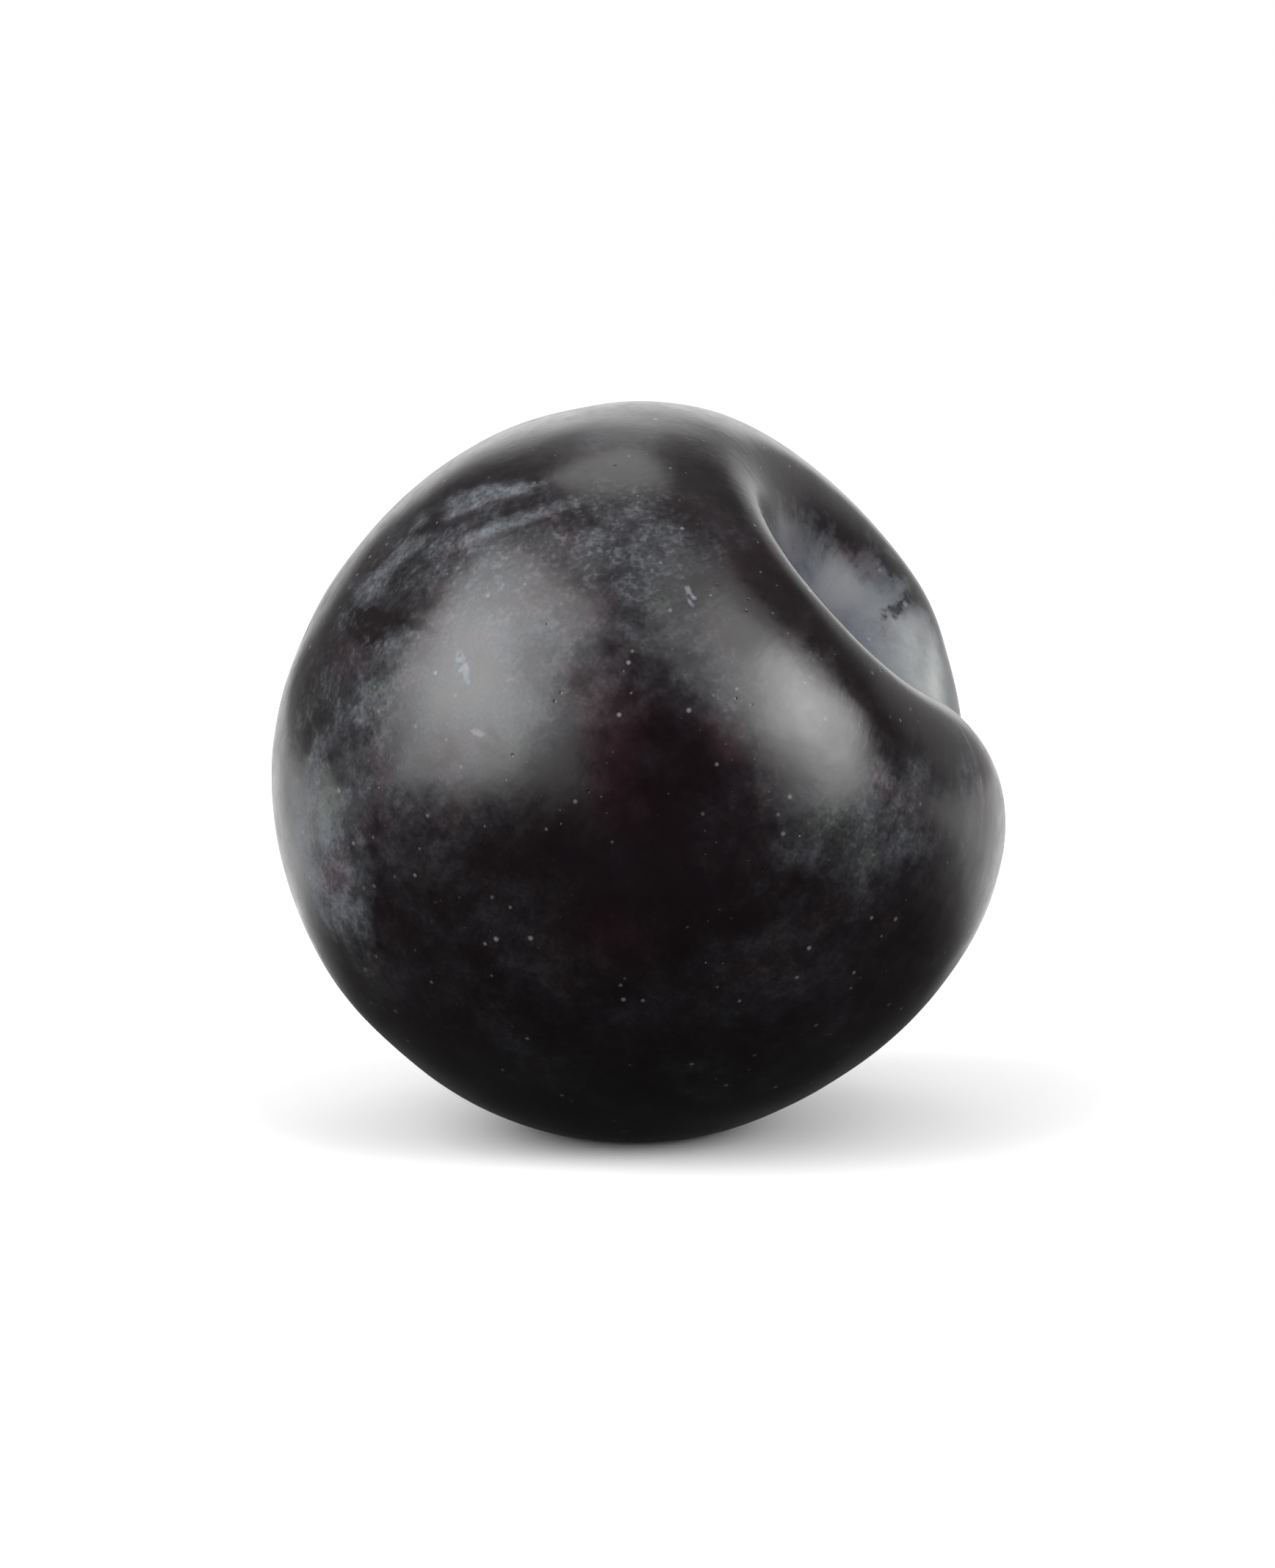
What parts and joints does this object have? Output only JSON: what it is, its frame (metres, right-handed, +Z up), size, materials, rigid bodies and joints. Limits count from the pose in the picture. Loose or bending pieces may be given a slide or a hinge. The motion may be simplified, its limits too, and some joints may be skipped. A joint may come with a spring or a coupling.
{
  "type": "plum",
  "caption": "Ripe dark plum with a deep stem hollow, a seam down one side and a small flat spot it rests on.",
  "frame": {"origin": "on the flat spot the fruit rests on, straight below its middle", "axes": "+Z up from the surface it rests on; the stem end leans over towards +X and a little towards -Y, and the seam leaves the stem hollow on the +X, +Y side and runs underneath to the tip, which points down towards -X"},
  "size_m": [0.0623, 0.0623, 0.0623],
  "materials": {
    "plum_skin": "satin"
  },
  "bodies": {
    "root": {"plum": "plum_skin"}
  },
  "joints": []
}
